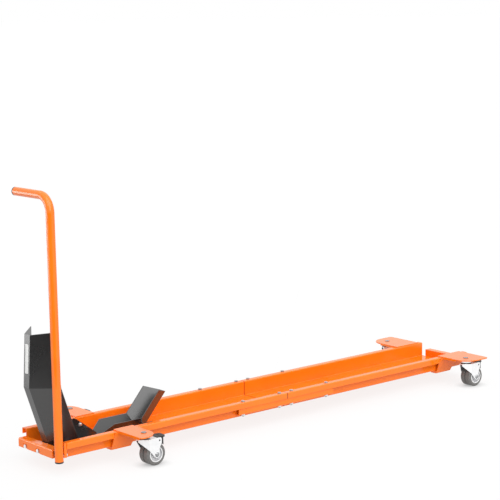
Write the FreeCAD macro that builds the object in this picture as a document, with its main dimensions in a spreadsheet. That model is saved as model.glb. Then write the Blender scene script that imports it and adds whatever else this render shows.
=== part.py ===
"""Motorcycle mover dolly: a two-piece wheel trough on four braked swivel casters.

The front wheel stands in a black chock whose rocker tips to let the tyre in, and a tall
bent handle at the front corner steers the whole dolly.

Frame: X runs along the trough with the chock end at -X, +Z is up and the floor is Z = 0.
Every piece is drawn from the trough's seam, and the whole dolly is then moved along X so
that the origin lies under the middle of its box.  Lengths are millimetres.
"""
import FreeCAD, Part
import math
import operator
import os
from types import SimpleNamespace

import Sketcher

SIZES = {
    # Trough: two hat-section channels butted end to end
    "trough_length": 1000,
    "seam_gap": 0.6,
    "track_width": 230,
    "sheet_thickness": 3,
    "deck_height": 115,
    "trough_depth": 55,
    "flange_width": 27.5,
    "lip_depth": 22,
    "bend_radius": 1.5,
    # Splice tubes under the flanges
    "splice_length": 476,
    "splice_height": 42.5,
    "splice_wall": 2.5,
    "splice_corner": 3,
    "side_clearance": 0.3,
    "splice_bolt_inner": 30,
    "splice_bolt_outer": 210,
    # Bolts and nuts of the frame
    "bolt_diameter": 8,
    "hole_clearance": 0.3,
    "thread_clearance": 0.05,
    "head_across": 13,
    "head_height": 5.3,
    "nut_height": 6.5,
    "bolt_end": 3,
    "cut_overrun": 5,
    # Crossbars and the beams behind them
    "crossbar_depth": 32,
    "crossbar_top": 88,
    "crossbar_short_end": 96,
    "notch_width": 24,
    "notch_height": 16,
    "crossbar_bolt_inner": -5,
    "crossbar_bolt_outer": 75,
    "beam_wall": 2.5,
    # Handle
    "handle_diameter": 30,
    "handle_wall": 2.5,
    "handle_bend_radius": 56,
    "handle_height": 962,
    "handle_reach": 208,
    "handle_foot": 53,
    "handle_standoff": 10,
    "handle_bolt_low": 72,
    "handle_bolt_high": 98,
    "handle_bolt_grip": 4,
    "mount_wall": 3,
    "mount_foot": 64,
    "cap_thickness": 6,
    "cap_chamfer": 1.5,
    "plug_depth": 12,
    "plug_clearance": 0.15,
    # Outriggers and the cross members between them
    "plate_thickness": 4,
    "plate_reach": 283,
    "plate_corner": 12,
    "plate_round": 62,
    "front_plate_setback": 210,
    "front_plate_length": 82,
    "rear_plate_setback": 23,
    "rear_plate_length": 127,
    "rim_depth": 5,
    "rim_inset": 3,
    "strap_lead": 14,
    "strap_width": 80,
    "strap_gap": 1.5,
    "strap_foot_gap": 2,
    "strap_foot": 92,
    "strap_bottom": 47,
    "strap_round": 3.5,
    "strap_step": 63,
    "strap_step_run": 7,
    "notch_gap": 1,
    # Casters
    "caster_setback": 50,
    "caster_inset": 55,
    "caster_trail": 34,
    "running_clearance": 0.05,
    "wheel_radius": 40,
    "wheel_width": 50,
    "tread_depth": 12,
    "tread_round": 4,
    "groove_width": 5,
    "groove_depth": 4,
    "hub_recess": 7,
    "hub_rim": 4,
    "hub_boss_radius": 12,
    "axle_diameter": 10,
    "axle_head_radius": 9,
    "axle_head_height": 4,
    "fork_width": 60,
    "fork_thickness": 3,
    "fork_top": 99,
    "nose_reach": 28,
    "nose_width": 16,
    "nose_depth": 8,
    "cheek_rear": 2,
    "cheek_bottom": 59,
    "fork_crown_rear": 38,
    "fork_foot": 11,
    "leg_margin": 9,
    "race_radius": 19,
    "bearing_gap": 0.3,
    "cup_radius": 24,
    "cup_wall": 3,
    "cup_depth": 11,
    "kingpin_diameter": 12,
    "kingpin_across": 19,
    "kingpin_head": 3,
    "kingpin_foot_radius": 10,
    "kingpin_foot_height": 5,
    # Brake pedal
    "pedal_pivot_reach": 46,
    "pedal_pivot_height": 89,
    "pedal_pin_radius": 3,
    "pedal_boss_radius": 6,
    "pedal_side_gap": 0.5,
    "pedal_start": 40,
    "pedal_reach": 80,
    "pedal_width": 38,
    "pedal_top": 100,
    "pedal_thickness": 6,
    "pedal_corner": 8,
    "shoe_front": 56,
    "shoe_middle": 64,
    "shoe_rear": 70,
    "shoe_front_bottom": 80,
    "shoe_middle_bottom": 73,
    "shoe_rear_bottom": 67.5,
    # Front stop and its base plate
    "chock_sheet": 3,
    "strip_width": 35,
    "stop_foot_setback": 11,
    "stop_fold_overhang": 64,
    "stop_fold_height": 294,
    "stop_top_overhang": 52,
    "stop_top_height": 478,
    "stop_top_rise": 10,
    "stop_wing_spread": 76,
    "stop_wing_depth": 81,
    "stop_top_depth": 62,
    "base_thickness": 4,
    "base_lip": 3,
    "base_length": 156,
    "base_width": 196,
    "base_bolt_inset": 15,
    # Front cradle
    "cradle_setback": 88,
    "cradle_length": 99,
    "cradle_front_height": 106,
    "cradle_drop": 75,
    "cradle_depth": 67,
    "cradle_round": 18,
    "saddle_spread": 31,
    "stud_inset": 32,
    "stud_below_edge": 10,
    "stud_radius": 8,
    "stud_height": 5,
    # Wheel rocker and its pivot
    "rocker_setback": 194,
    "rocker_nose": 70,
    "rocker_length": 213,
    "rocker_height": 62,
    "rocker_tail_run": 108,
    "rocker_tail_height": 183.5,
    "rocker_tail_cut": 23,
    "rocker_depth": 51,
    "pivot_ahead": 2,
    "pivot_height": 78,
    "pivot_diameter": 12,
    "pivot_head_radius": 10,
    "pivot_head_height": 4,
    "bracket_spacing": 112,
    "bracket_thickness": 4,
    "bracket_length": 50,
    "bracket_height": 36,
    "bracket_foot": 30,
    "bracket_round": 12,
    "bracket_bolt_inset": 13,
}

OPERATORS = {"+": operator.add, "-": operator.sub, "*": operator.mul, "/": operator.truediv}


class Size:
    """A size worked out from the sheet: the formula that binds it, and its value now."""

    def __init__(self, formula, value):
        self.formula = formula
        self.value = value

    def joined(self, sign, other):
        other = as_size(other)
        value = OPERATORS[sign](self.value, other.value)
        return Size(f"({self.formula} {sign} {other.formula})", value)

    def __add__(self, other):
        return self.joined("+", other)

    def __sub__(self, other):
        return self.joined("-", other)

    def __mul__(self, other):
        return self.joined("*", other)

    def __truediv__(self, other):
        return self.joined("/", other)

    def __rmul__(self, other):
        return self.joined("*", other)

    def __neg__(self):
        return Size(f"(-1 * {self.formula})", -self.value)


def as_size(value):
    """A size as it is, or a plain ratio as a size without a cell."""
    return value if isinstance(value, Size) else Size(str(value), value)


def slant_length(run, rise):
    """The length of a sloping edge from its run and its rise."""
    return Size(f"sqrt({run.formula}^2 + {rise.formula}^2)", math.hypot(run.value, rise.value))


ZERO = as_size(0)
doc = FreeCAD.newDocument("motorcycle_dolly")
sheet = doc.addObject("Spreadsheet::Sheet", "sizes")
for row, (alias, number) in enumerate(SIZES.items(), start=1):
    sheet.set(f"A{row}", alias)
    sheet.set(f"B{row}", str(number))
    sheet.setAlias(f"B{row}", alias)
doc.recompute()
dim = SimpleNamespace(**{alias: Size(f"sizes.{alias}", float(sheet.get(alias))) for alias in SIZES})

# Levels and lines that several pieces share
wall_inside = dim.track_width / 2
wall_outside = wall_inside + dim.sheet_thickness
lip_outside = wall_inside + dim.flange_width
lip_inside = lip_outside - dim.sheet_thickness
channel_middle = (wall_outside + lip_inside) / 2
flange_under = dim.deck_height - dim.sheet_thickness
floor_top = dim.deck_height - dim.trough_depth
floor_under = floor_top - dim.sheet_thickness
splice_under = flange_under - dim.splice_height
crossbar_reach = dim.trough_length + dim.crossbar_depth
beam_reach = crossbar_reach - dim.sheet_thickness
beam_top = dim.crossbar_top - dim.sheet_thickness
bolt_hole = dim.bolt_diameter / 2 + dim.hole_clearance
base_top = floor_top + dim.base_thickness
bolt_reach = beam_reach + dim.head_height
plate_fronts = {
    "front": dim.front_plate_setback - dim.trough_length,
    "rear": dim.trough_length - dim.rear_plate_setback - dim.rear_plate_length,
}
plate_lengths = {"front": dim.front_plate_length, "rear": dim.rear_plate_length}
caster_offset = dim.plate_reach - dim.caster_inset
strap_top = lip_outside + dim.strap_gap
strap_foot_top = wall_outside + dim.strap_foot_gap
stop_foot_reach = dim.trough_length - dim.stop_foot_setback
stop_fold_reach = dim.trough_length + dim.stop_fold_overhang
stop_top_reach = dim.trough_length + dim.stop_top_overhang
base_front_reach = stop_foot_reach + dim.base_lip
base_rear_reach = base_front_reach - dim.base_length
cradle_front_reach = dim.trough_length - dim.cradle_setback
cradle_rear_reach = cradle_front_reach - dim.cradle_length
rocker_front_reach = dim.trough_length - dim.rocker_setback
rocker_bend_reach = rocker_front_reach - dim.rocker_length
rocker_tail_reach = rocker_bend_reach - dim.rocker_tail_run
pivot_reach = rocker_bend_reach + dim.pivot_ahead
center_shift = (stop_fold_reach - bolt_reach) / 2
# Shares of a corner's two edges that a curve between them takes, point by point
CURVE_SHARES = [(1, 0), (4 / 9, 1 / 9), (1 / 9, 4 / 9), (0, 1)]
SIDES = {"left": -1, "right": 1}
ENDS = {"front": -1, "rear": 1}
pieces = []


def finish(piece, label):
    """Name a finished sub-part and keep it for export."""
    piece.Label = label
    pieces.append(piece)


def put(piece, x, y, z, rotation=None):
    """Place a piece: its point from the seam, moved with the whole dolly, and its turn."""
    if rotation is not None:
        piece.Placement = FreeCAD.Placement(FreeCAD.Vector(), rotation)
    for axis, size in (("x", center_shift + x), ("y", y), ("z", z)):
        piece.setExpression(f"Placement.Base.{axis}", size.formula)


def new_body(label, x=ZERO, y=ZERO, z=ZERO, rotation=None):
    """An empty body drawn from the seam, or from the point and turn given."""
    body = doc.addObject("PartDesign::Body", label)
    put(body, x, y, z, rotation)
    finish(body, label)
    return body


def new_sketch(body, role, offset=None):
    """A sketch on one of the body's own planes, moved along the plane's normal."""
    sketch = body.newObject("Sketcher::SketchObject", f"{body.Name}_sketch")
    plane = next(feature for feature in body.Origin.OriginFeatures if feature.Role == role)
    sketch.AttachmentSupport = [(plane, "")]
    sketch.MapMode = "FlatFace"
    if offset is not None:
        sketch.setExpression("AttachmentOffset.Base.z", offset.formula)
    return sketch


def pin_point(sketch, geometry, point, place):
    """Bind one point of a sketch to its two sizes."""
    for kind, axis_line, size in (("DistanceX", -2, place[0]), ("DistanceY", -1, place[1])):
        if size is ZERO:
            sketch.addConstraint(Sketcher.Constraint("PointOnObject", geometry, point, axis_line))
            continue
        index = sketch.addConstraint(Sketcher.Constraint(kind, -1, 1, geometry, point, size.value))
        bind_constraint(sketch, index, size)


def bind_constraint(sketch, index, size):
    """Bind a dimension of a sketch to a size."""
    name = f"size_{index}"
    sketch.renameConstraint(index, name)
    sketch.setExpression(f"Constraints.{name}", size.formula)


def flat_point(place):
    """A point of a sketch at its present sizes."""
    return FreeCAD.Vector(place[0].value, place[1].value, 0)


def draw_outline(sketch, points):
    """Draw a closed outline through points given as pairs of sizes."""
    first = sketch.GeometryCount
    count = len(points)
    for index, place in enumerate(points):
        following = points[(index + 1) % count]
        sketch.addGeometry(Part.LineSegment(flat_point(place), flat_point(following)))
    for index in range(count):
        following = first + (index + 1) % count
        sketch.addConstraint(Sketcher.Constraint("Coincident", first + index, 2, following, 1))
    for index, place in enumerate(points):
        pin_point(sketch, first + index, 1, place)


def draw_circles(sketch, centers, radius):
    """Draw equal circles at centers given as pairs of sizes."""
    for center in centers:
        circle = Part.Circle(flat_point(center), FreeCAD.Vector(0, 0, 1), radius.value)
        geometry = sketch.addGeometry(circle)
        pin_point(sketch, geometry, 3, center)
        index = sketch.addConstraint(Sketcher.Constraint("Radius", geometry, radius.value))
        bind_constraint(sketch, index, radius)


def rectangle(low, high):
    """The corners of an upright rectangle between two opposite corners."""
    return [(low[0], low[1]), (high[0], low[1]), (high[0], high[1]), (low[0], high[1])]


def pad(body, sketch, length):
    """Raise a sketch along its plane's normal."""
    feature = body.newObject("PartDesign::Pad", f"{body.Name}_pad")
    feature.Profile = sketch
    feature.setExpression("Length", length.formula)
    doc.recompute()
    return feature


def pocket(body, sketch, along_normal=False, length=None):
    """Cut a sketch out of the body, right through or to a depth."""
    volume = body.Shape.Volume
    feature = body.newObject("PartDesign::Pocket", f"{body.Name}_pocket")
    feature.Profile = sketch
    feature.Reversed = along_normal
    if length is None:
        feature.Type = "ThroughAll"
    else:
        feature.setExpression("Length", length.formula)
    doc.recompute()
    if body.Shape.Volume >= volume:
        raise RuntimeError(f"{body.Label}: a pocket cut nothing")
    return feature


def round_edges(body, radius, chosen):
    """Round the edges of the body's last feature that the test picks."""
    doc.recompute()
    base = body.Tip
    names = [f"Edge{index}" for index, edge in enumerate(base.Shape.Edges, start=1) if chosen(edge)]
    feature = body.newObject("PartDesign::Fillet", f"{body.Name}_round")
    feature.Base = (base, names)
    feature.setExpression("Radius", radius.formula)
    doc.recompute()
    return feature


def close_to(first, second):
    """Whether two lengths are the same place."""
    return math.isclose(first, second, abs_tol=dim.running_clearance.value)


def edge_at(axes, places):
    """A test for straight edges whose middle lies at one of the places along two axes."""
    def chosen(edge):
        if not isinstance(edge.Curve, Part.Line):
            return False
        middle = edge.CenterOfMass
        spots = [[getattr(vertex.Point, axis) for axis in axes] for vertex in edge.Vertexes]
        runs_across = all(close_to(near, far) for near, far in zip(*spots))
        here = [getattr(middle, axis) for axis in axes]
        return runs_across and any(
            all(close_to(value, size.value) for value, size in zip(here, place)) for place in places)
    return chosen


def turned(label, profile, x, y, z, rotation=None):
    """A turned piece: a closed outline of (radius, height) pairs about its own axis."""
    body = new_body(label, x, y, z, rotation)
    sketch = new_sketch(body, "XZ_Plane")
    draw_outline(sketch, profile)
    feature = body.newObject("PartDesign::Revolution", f"{label}_turn")
    feature.Profile = sketch
    feature.ReferenceAxis = (sketch, ["V_Axis"])
    doc.recompute()
    return body


ALONG_Y = FreeCAD.Rotation(FreeCAD.Vector(1, 0, 0), -90)
HEAD_TO_REAR = FreeCAD.Rotation(FreeCAD.Vector(0, 1, 0), 90)
HEAD_TO_FRONT = FreeCAD.Rotation(FreeCAD.Vector(0, 1, 0), -90)


def primitive(kind, label, **sizes):
    """A plain solid with its sizes bound to the sheet."""
    solid = doc.addObject(f"Part::{kind}", label)
    for name, size in sizes.items():
        solid.setExpression(name, size.formula)
    return solid


def hexagon(label, across, height):
    """A hexagonal prism by its width across flats."""
    prism = primitive("Prism", label, Height=height)
    prism.Polygon = 6
    prism.setExpression("Circumradius", f"{across.formula} / (2 * cos(30 deg))")
    return prism


def bolt(label, length, x, y, z, rotation=None):
    """A hex bolt hanging from the face that its head sits on."""
    head = hexagon(f"{label}_head", dim.head_across, dim.head_height)
    shank = primitive("Cylinder", f"{label}_shank", Radius=dim.bolt_diameter / 2, Height=length)
    shank.setExpression("Placement.Base.z", (-length).formula)
    whole = doc.addObject("Part::Fuse", label)
    whole.Base = head
    whole.Tool = shank
    put(whole, x, y, z, rotation)
    return whole


def nut(label, x, y, z):
    """A hex nut hanging below the face that it clamps."""
    block = hexagon(f"{label}_block", dim.head_across, dim.nut_height)
    bore_radius = dim.bolt_diameter / 2 + dim.thread_clearance
    bore = primitive("Cylinder", f"{label}_bore", Radius=bore_radius, Height=dim.nut_height)
    whole = doc.addObject("Part::Cut", label)
    whole.Base = block
    whole.Tool = bore
    put(whole, x, y, z - dim.nut_height)
    return whole


def group(label, solids):
    """Equal fasteners kept together as separate solids."""
    whole = doc.addObject("Part::Compound", label)
    whole.Links = solids
    finish(whole, label)


def mirrored(points):
    """An outline of (across, up) points closed by its own reflection."""
    return points + [(-across, up) for across, up in reversed(points)]


def trough(end):
    """One half of the trough: a hat section folded from sheet, its lips notched for the outriggers."""
    sign = ENDS[end]
    body = new_body(f"{end}_trough")
    start = dim.seam_gap / 2 if sign > 0 else -dim.trough_length
    half = [
        (wall_outside, floor_under),
        (wall_outside, flange_under),
        (lip_inside, flange_under),
        (lip_inside, dim.deck_height - dim.lip_depth),
        (lip_outside, dim.deck_height - dim.lip_depth),
        (lip_outside, dim.deck_height),
        (wall_inside, dim.deck_height),
        (wall_inside, floor_top),
    ]
    sketch = new_sketch(body, "YZ_Plane", start)
    draw_outline(sketch, mirrored(half))
    pad(body, sketch, dim.trough_length - dim.seam_gap / 2)
    inner = mirrored([half[1], half[2], half[7]])
    outer = mirrored([half[0], half[5], half[6]])
    round_edges(body, dim.bend_radius, edge_at("yz", inner))
    round_edges(body, dim.bend_radius + dim.sheet_thickness, edge_at("yz", outer))
    holes = new_sketch(body, "XY_Plane")
    places = [place for place in splice_places() if place[0].value * sign > 0]
    if end == "front":
        places += base_bolt_places() + bracket_bolt_places()
    draw_circles(holes, places, bolt_hole)
    pocket(body, holes, along_normal=True)
    notches = new_sketch(body, "XY_Plane", flange_under)
    notch_start = plate_fronts[end] - dim.strap_lead - dim.notch_gap
    notch_end = plate_fronts[end] + plate_lengths[end] + dim.notch_gap
    for side in SIDES.values():
        near = (notch_start, side * (lip_inside - dim.bend_radius))
        far = (notch_end, side * (lip_outside + dim.notch_gap))
        draw_outline(notches, rectangle(near, far))
    pocket(body, notches, length=dim.lip_depth)


def splice_places():
    """Plan places of the bolts through the flanges and splice tubes."""
    reaches = (dim.splice_bolt_inner, dim.splice_bolt_outer)
    along = [sign * reach for sign in ENDS.values() for reach in reaches]
    return [(x, side * channel_middle) for side in SIDES.values() for x in along]


def splices():
    """Square-cornered tubes that bridge the seam under both flanges, with their bolts."""
    for name, side in SIDES.items():
        body = new_body(f"splice_{name}")
        sketch = new_sketch(body, "YZ_Plane", -dim.splice_length / 2)
        near = wall_outside + dim.side_clearance
        far = lip_inside - dim.side_clearance
        draw_outline(sketch, rectangle((side * near, splice_under), (side * far, flange_under)))
        wall = dim.splice_wall
        inside_low = (side * (near + wall), splice_under + wall)
        inside_high = (side * (far - wall), flange_under - wall)
        draw_outline(sketch, rectangle(inside_low, inside_high))
        pad(body, sketch, dim.splice_length)
        corners = [(side * across, up) for across in (near, far) for up in (splice_under, flange_under)]
        round_edges(body, dim.splice_corner, edge_at("yz", corners))
        holes = new_sketch(body, "XY_Plane")
        draw_circles(holes, [place for place in splice_places() if place[1].value * side > 0], bolt_hole)
        pocket(body, holes, along_normal=True)
    length = dim.sheet_thickness + dim.splice_height + dim.nut_height + dim.bolt_end
    bolts = [bolt(f"splice_bolt_{index}", length, x, y, dim.deck_height)
             for index, (x, y) in enumerate(splice_places())]
    group("splice_bolts", bolts)


def crossbars():
    """Bent angles that close the trough's ends, each over a hollow beam with two bolts."""
    bolts = []
    bolt_height = floor_under + dim.notch_height / 2
    for name, sign in ENDS.items():
        far = wall_outside if sign < 0 else dim.crossbar_short_end
        width = wall_outside + dim.crossbar_short_end
        across = [-sign * y for y in (dim.crossbar_bolt_inner, dim.crossbar_bolt_outer)]
        angle = [
            (sign * dim.trough_length, dim.crossbar_top),
            (sign * crossbar_reach, dim.crossbar_top),
            (sign * crossbar_reach, floor_under),
            (sign * beam_reach, floor_under),
            (sign * beam_reach, beam_top),
            (sign * dim.trough_length, beam_top),
        ]
        body = new_body(f"{name}_crossbar")
        sketch = new_sketch(body, "XZ_Plane", -far)
        draw_outline(sketch, angle)
        pad(body, sketch, width)
        round_edges(body, dim.bend_radius + dim.sheet_thickness, edge_at("xz", [angle[1]]))
        notches = new_sketch(body, "YZ_Plane", sign * beam_reach)
        for y in across:
            low = (y - dim.notch_width / 2, floor_under - dim.cut_overrun)
            high = (y + dim.notch_width / 2, floor_under + dim.notch_height)
            draw_outline(notches, rectangle(low, high))
        pocket(body, notches, sign > 0, dim.sheet_thickness + dim.cut_overrun)
        beam = new_body(f"{name}_beam")
        section = new_sketch(beam, "XZ_Plane", -far)
        wall = dim.beam_wall
        outer = rectangle((sign * dim.trough_length, floor_under), (sign * beam_reach, beam_top))
        inner = rectangle((sign * (dim.trough_length + wall), floor_under + wall),
                          (sign * (beam_reach - wall), beam_top - wall))
        draw_outline(section, outer)
        draw_outline(section, inner)
        pad(beam, section, width)
        beam_holes = new_sketch(beam, "YZ_Plane", sign * beam_reach)
        thread = dim.bolt_diameter / 2 + dim.thread_clearance
        draw_circles(beam_holes, [(y, bolt_height) for y in across], thread)
        pocket(beam, beam_holes, along_normal=sign < 0)
        length = beam_reach - dim.trough_length
        turn = HEAD_TO_REAR if sign > 0 else HEAD_TO_FRONT
        bolts += [bolt(f"{name}_crossbar_bolt_{index}", length, sign * beam_reach, y, bolt_height, turn)
                  for index, y in enumerate(across)]
    group("crossbar_bolts", bolts)


def handle():
    """A tube that rises at the front left corner and bends over the trough, with its caps."""
    radius = dim.handle_diameter / 2
    bore = radius - dim.handle_wall
    x = -(dim.trough_length + dim.handle_standoff + radius)
    y = -channel_middle
    end = y + dim.handle_reach
    bolt_places = [(y, dim.handle_bolt_low), (y, dim.handle_bolt_high)]
    body = new_body("handle_tube")
    path = new_sketch(body, "YZ_Plane", x)
    bend = dim.handle_bend_radius
    bend_center = (y + bend, dim.handle_height - bend)
    foot = (y, dim.handle_foot)
    tip = (end, dim.handle_height)
    bend_start = (y, dim.handle_height - bend)
    bend_end = (y + bend, dim.handle_height)
    path.addGeometry(Part.LineSegment(flat_point(foot), flat_point(bend_start)))
    circle = Part.Circle(flat_point(bend_center), FreeCAD.Vector(0, 0, 1), bend.value)
    path.addGeometry(Part.ArcOfCircle(circle, math.pi / 2, math.pi))
    path.addGeometry(Part.LineSegment(flat_point(bend_end), flat_point(tip)))
    pin_point(path, 0, 1, foot)
    pin_point(path, 0, 2, bend_start)
    pin_point(path, 1, 3, bend_center)
    pin_point(path, 2, 2, tip)
    path.addConstraint(Sketcher.Constraint("Coincident", 1, 2, 0, 2))
    path.addConstraint(Sketcher.Constraint("Coincident", 1, 1, 2, 1))
    path.addConstraint(Sketcher.Constraint("Vertical", 1, 3, 1, 1))
    profile = new_sketch(body, "XY_Plane", dim.handle_foot)
    draw_circles(profile, [(x, y)], radius)
    draw_circles(profile, [(x, y)], bore)
    pipe = body.newObject("PartDesign::AdditivePipe", "handle_pipe")
    pipe.Profile = profile
    pipe.Spine = path
    doc.recompute()
    holes = new_sketch(body, "YZ_Plane", x)
    draw_circles(holes, bolt_places, bolt_hole)
    pocket(body, holes, along_normal=True)
    plug = bore - dim.plug_clearance
    cap = [
        (ZERO, -dim.cap_thickness),
        (radius - dim.cap_chamfer, -dim.cap_thickness),
        (radius, dim.cap_chamfer - dim.cap_thickness),
        (radius, ZERO),
        (plug, ZERO),
        (plug, dim.plug_depth),
        (ZERO, dim.plug_depth),
    ]
    turned("handle_foot_cap", cap, x, y, dim.handle_foot)
    toward_tip = FreeCAD.Rotation(FreeCAD.Vector(1, 0, 0), 90)
    turned("handle_end_plug", cap, x, end, dim.handle_height, toward_tip)
    handle_mount(bolt_places)
    grip = dim.handle_standoff + dim.handle_wall + dim.handle_bolt_grip
    bolts = [bolt(f"handle_bolt_{index}", grip, -dim.trough_length, y, z, HEAD_TO_REAR)
             for index, (_, z) in enumerate(bolt_places)]
    group("handle_bolts", bolts)


def handle_mount(bolt_places):
    """A short upright channel on the end of the flange that the handle is bolted to."""
    body = new_body("handle_mount")
    sketch = new_sketch(body, "XY_Plane", dim.mount_foot)
    front = -(dim.trough_length + dim.handle_standoff)
    wall = dim.mount_wall
    channel = [
        (-dim.trough_length, -lip_inside),
        (-dim.trough_length, -wall_inside),
        (front, -wall_inside),
        (front, -wall_inside - wall),
        (-dim.trough_length - wall, -wall_inside - wall),
        (-dim.trough_length - wall, wall - lip_inside),
        (front, wall - lip_inside),
        (front, -lip_inside),
    ]
    draw_outline(sketch, channel)
    pad(body, sketch, dim.deck_height - dim.mount_foot)
    holes = new_sketch(body, "YZ_Plane", -dim.trough_length - wall - dim.cut_overrun)
    draw_circles(holes, bolt_places, bolt_hole)
    pocket(body, holes, along_normal=True)


def outrigger(end, name):
    """A rimmed corner plate on the flange, with a wall that leans in and hooks under the trough."""
    side = SIDES[name]
    front = plate_fronts[end]
    rear = front + plate_lengths[end]
    caster = front + dim.caster_setback
    inner, outer = (rear, front) if end == "front" else (front, rear)
    body = new_body(f"outrigger_{end}_{name}")
    plan = new_sketch(body, "XY_Plane", dim.deck_height)
    draw_outline(plan, rectangle((front, side * wall_outside), (rear, side * dim.plate_reach)))
    pad(body, plan, dim.plate_thickness)
    round_edges(body, dim.plate_corner, edge_at("xy", [(outer, side * dim.plate_reach)]))
    round_edges(body, dim.plate_round, edge_at("xy", [(inner, side * dim.plate_reach)]))
    rims = [(outer, dim.plate_corner), (inner, dim.plate_round)]
    for edge, corner in rims:
        start = edge if edge is front else edge - dim.plate_thickness
        low = (side * strap_top, dim.deck_height - dim.rim_depth)
        high = (side * (dim.plate_reach - corner - dim.rim_inset), dim.deck_height)
        rim = new_sketch(body, "YZ_Plane", start)
        draw_outline(rim, rectangle(low, high))
        pad(body, rim, dim.plate_thickness)
    strap(body, side, front, rear)
    hole = new_sketch(body, "XY_Plane")
    draw_circles(hole, [(caster, side * caster_offset)], dim.kingpin_diameter / 2 + dim.hole_clearance)
    pocket(body, hole, along_normal=True)


def strap(body, side, front, rear):
    """The outrigger's inner wall: deep where it hooks under the trough, and cut short behind that."""
    start = front - dim.strap_lead
    foot_top = dim.strap_bottom + dim.plate_thickness
    foot_corner = strap_foot_top + dim.plate_thickness
    profile = [
        (strap_top, dim.deck_height),
        (strap_foot_top, foot_top),
        (dim.strap_foot, foot_top),
        (dim.strap_foot, dim.strap_bottom),
        (foot_corner, dim.strap_bottom),
        (strap_top + dim.plate_thickness, dim.deck_height),
    ]
    sketch = new_sketch(body, "YZ_Plane", start)
    draw_outline(sketch, [(side * across, up) for across, up in profile])
    pad(body, sketch, rear - start)
    step = start + dim.strap_width
    cut = [
        (step, dim.strap_bottom - dim.cut_overrun),
        (step + dim.strap_step_run, dim.strap_step),
        (rear + dim.cut_overrun, dim.strap_step),
        (rear + dim.cut_overrun, dim.strap_bottom - dim.cut_overrun),
    ]
    shallow = new_sketch(body, "XZ_Plane")
    draw_outline(shallow, cut)
    pocket(body, shallow, along_normal=side < 0)
    round_edges(body, dim.strap_round, edge_at("yz", [(side * foot_corner, dim.strap_bottom)]))


def cross_member(end):
    """A flat bar under the trough, between the hooked feet of one pair of outriggers."""
    front = plate_fronts[end] - dim.strap_lead
    body = new_body(f"{end}_cross_member")
    sketch = new_sketch(body, "XZ_Plane", -wall_outside)
    low = (front, dim.strap_bottom + dim.plate_thickness)
    draw_outline(sketch, rectangle(low, (front + dim.strap_width, floor_under)))
    pad(body, sketch, wall_outside * 2)


def caster_places():
    """Swivel axis of each caster by its name."""
    return {f"{end}_{name}": (front + dim.caster_setback, side * caster_offset)
            for end, front in plate_fronts.items() for name, side in SIDES.items()}


def caster(name, x, y):
    """One braked swivel caster, trailing to the rear, drawn from its swivel axis."""
    cup_under = dim.deck_height - dim.cup_wall
    pin = dim.kingpin_diameter / 2
    cup = [
        (pin + dim.hole_clearance, cup_under),
        (dim.cup_radius - dim.cup_wall, cup_under),
        (dim.cup_radius - dim.cup_wall, dim.deck_height - dim.cup_depth),
        (dim.cup_radius, dim.deck_height - dim.cup_depth),
        (dim.cup_radius, dim.deck_height),
        (pin + dim.hole_clearance, dim.deck_height),
    ]
    turned(f"{name}_bearing_cup", cup, x, y, ZERO)
    fork(name, x, y, cup_under)
    wheel_x = x + dim.caster_trail
    half_width = dim.wheel_width / 2
    tread_bore = dim.wheel_radius - dim.tread_depth
    edge = dim.wheel_radius - dim.tread_round
    shoulder = half_width - dim.tread_round
    groove = dim.groove_width / 2
    tread = [
        (tread_bore, half_width),
        (edge, half_width),
        (dim.wheel_radius, shoulder),
        (dim.wheel_radius, groove),
        (dim.wheel_radius - dim.groove_depth, groove),
    ]
    below = [(radius, -height) for radius, height in reversed(tread)]
    turned(f"{name}_tread", tread + below, wheel_x, y, dim.wheel_radius, ALONG_Y)
    hub_radius = tread_bore - dim.running_clearance
    hub_bore = dim.axle_diameter / 2 + dim.running_clearance
    hub_face = half_width - dim.hub_recess
    hub = [
        (hub_bore, half_width),
        (dim.hub_boss_radius, half_width),
        (dim.hub_boss_radius, hub_face),
        (hub_radius - dim.hub_rim, hub_face),
        (hub_radius - dim.hub_rim, half_width),
        (hub_radius, half_width),
    ]
    below = [(radius, -height) for radius, height in reversed(hub)]
    turned(f"{name}_hub", hub + below, wheel_x, y, dim.wheel_radius, ALONG_Y)
    leg_face = dim.fork_width / 2
    axle = dim.axle_diameter / 2
    rivet = [
        (ZERO, leg_face + dim.axle_head_height),
        (axle, leg_face + dim.axle_head_height),
        (dim.axle_head_radius, leg_face),
        (axle, leg_face),
    ]
    below = [(radius, -height) for radius, height in reversed(rivet)]
    turned(f"{name}_axle", rivet + below, wheel_x, y, dim.wheel_radius, ALONG_Y)
    pedal(name, x, y)


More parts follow.
